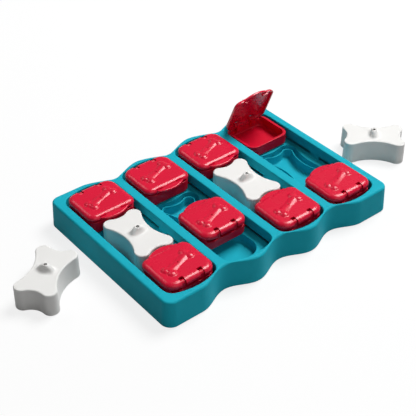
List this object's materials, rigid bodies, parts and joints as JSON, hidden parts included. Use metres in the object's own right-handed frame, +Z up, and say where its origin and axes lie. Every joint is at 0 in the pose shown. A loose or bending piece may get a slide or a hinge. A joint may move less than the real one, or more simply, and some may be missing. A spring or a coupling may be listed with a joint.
{
  "type": "dog puzzle feeder toy",
  "caption": "Wavy puzzle feeder tray for dogs, with sliding treat boxes under hinged lids, and bone-shaped lift-off caps over treat wells.",
  "frame": {"origin": "centre of the tray in plan, on the surface that it stands on: the underside of the middle foot", "axes": "+X across the channels, towards the open lid's channel; +Y along the channels, towards the back row of boxes; +Z up"},
  "size_m": [0.5375, 0.2272, 0.0882],
  "materials": {
    "tray_teal": "moulded plastic, fine matt grain",
    "feet_rubber": "soft matt rubber",
    "box_red": "satin moulded plastic",
    "lid_red": "satin moulded plastic",
    "bone_white": "moulded plastic, smooth and nearly matt"
  },
  "bodies": {
    "tray": {"tray": "tray_teal", "rubber_feet": "feet_rubber"},
    "box_back_1": {"box_back_1": "box_red"},
    "lid_back_1": {"lid_back_1": "lid_red"},
    "box_back_2": {"box_back_2": "box_red"},
    "lid_back_2": {"lid_back_2": "lid_red"},
    "box_back_3": {"box_back_3": "box_red"},
    "lid_back_3": {"lid_back_3": "lid_red"},
    "box_back_4": {"box_back_4": "box_red"},
    "lid_back_4": {"lid_back_4": "lid_red"},
    "box_front_1": {"box_front_1": "box_red"},
    "lid_front_1": {"lid_front_1": "lid_red"},
    "box_front_2": {"box_front_2": "box_red"},
    "lid_front_2": {"lid_front_2": "lid_red"},
    "box_front_3": {"box_front_3": "box_red"},
    "lid_front_3": {"lid_front_3": "lid_red"},
    "box_front_4": {"box_front_4": "box_red"},
    "lid_front_4": {"lid_front_4": "lid_red"},
    "bone_seated_1": {"bone_seated_1": "bone_white"},
    "bone_seated_3": {"bone_seated_3": "bone_white"},
    "bone_loose_left": {"bone_loose_left": "bone_white"},
    "bone_loose_right": {"bone_loose_right": "bone_white"}
  },
  "joints": [
    {"name": "box_back_1_slide", "type": "slide", "parent": "tray", "child": "box_back_1", "axis": [0, -1, 0], "range_m": [0, 0.0018]},
    {"name": "lid_back_1_hinge", "type": "hinge", "parent": "box_back_1", "child": "lid_back_1", "pos_m": [-0.117, 0.094, 0.0354], "axis": [-1, 0, 0], "range_deg": [0, 112]},
    {"name": "box_back_2_slide", "type": "slide", "parent": "tray", "child": "box_back_2", "axis": [0, -1, 0], "range_m": [0, 0.035]},
    {"name": "lid_back_2_hinge", "type": "hinge", "parent": "box_back_2", "child": "lid_back_2", "pos_m": [-0.039, 0.094, 0.0354], "axis": [-1, 0, 0], "range_deg": [0, 112]},
    {"name": "box_back_3_slide", "type": "slide", "parent": "tray", "child": "box_back_3", "axis": [0, -1, 0], "range_m": [0, 0.0018]},
    {"name": "lid_back_3_hinge", "type": "hinge", "parent": "box_back_3", "child": "lid_back_3", "pos_m": [0.039, 0.094, 0.0354], "axis": [-1, 0, 0], "range_deg": [0, 112]},
    {"name": "box_back_4_slide", "type": "slide", "parent": "tray", "child": "box_back_4", "axis": [0, -1, 0], "range_m": [0, 0.037]},
    {"name": "lid_back_4_hinge", "type": "hinge", "parent": "box_back_4", "child": "lid_back_4", "pos_m": [0.117, 0.094, 0.0354], "axis": [-1, 0, 0], "range_deg": [-67, 45]},
    {"name": "box_front_1_slide", "type": "slide", "parent": "tray", "child": "box_front_1", "axis": [0, 1, 0], "range_m": [0, 0.0018]},
    {"name": "lid_front_1_hinge", "type": "hinge", "parent": "box_front_1", "child": "lid_front_1", "pos_m": [-0.117, -0.094, 0.0354], "axis": [1, 0, 0], "range_deg": [0, 112]},
    {"name": "box_front_2_slide", "type": "slide", "parent": "tray", "child": "box_front_2", "axis": [0, -1, 0], "range_m": [0, 0.0391]},
    {"name": "lid_front_2_hinge", "type": "hinge", "parent": "box_front_2", "child": "lid_front_2", "pos_m": [-0.039, -0.0549, 0.0354], "axis": [1, 0, 0], "range_deg": [0, 112]},
    {"name": "box_front_3_slide", "type": "slide", "parent": "tray", "child": "box_front_3", "axis": [0, 1, 0], "range_m": [0, 0.0018]},
    {"name": "lid_front_3_hinge", "type": "hinge", "parent": "box_front_3", "child": "lid_front_3", "pos_m": [0.039, -0.094, 0.0354], "axis": [1, 0, 0], "range_deg": [0, 112]},
    {"name": "box_front_4_slide", "type": "slide", "parent": "tray", "child": "box_front_4", "axis": [0, 1, 0], "range_m": [0, 0.037]},
    {"name": "lid_front_4_hinge", "type": "hinge", "parent": "box_front_4", "child": "lid_front_4", "pos_m": [0.117, -0.094, 0.0354], "axis": [1, 0, 0], "range_deg": [0, 112]},
    {"name": "bone_seated_1_lift", "type": "slide", "parent": "tray", "child": "bone_seated_1", "axis": [0, 0, 1], "range_m": [0, 0.04]},
    {"name": "bone_seated_3_lift", "type": "slide", "parent": "tray", "child": "bone_seated_3", "axis": [0, 0, 1], "range_m": [0, 0.04]},
    {"name": "bone_loose_left_lift", "type": "slide", "parent": "tray", "child": "bone_loose_left", "axis": [0, 0, 1], "range_m": [0, 0.04]},
    {"name": "bone_loose_right_lift", "type": "slide", "parent": "tray", "child": "bone_loose_right", "axis": [0, 0, 1], "range_m": [0, 0.04]}
  ]
}
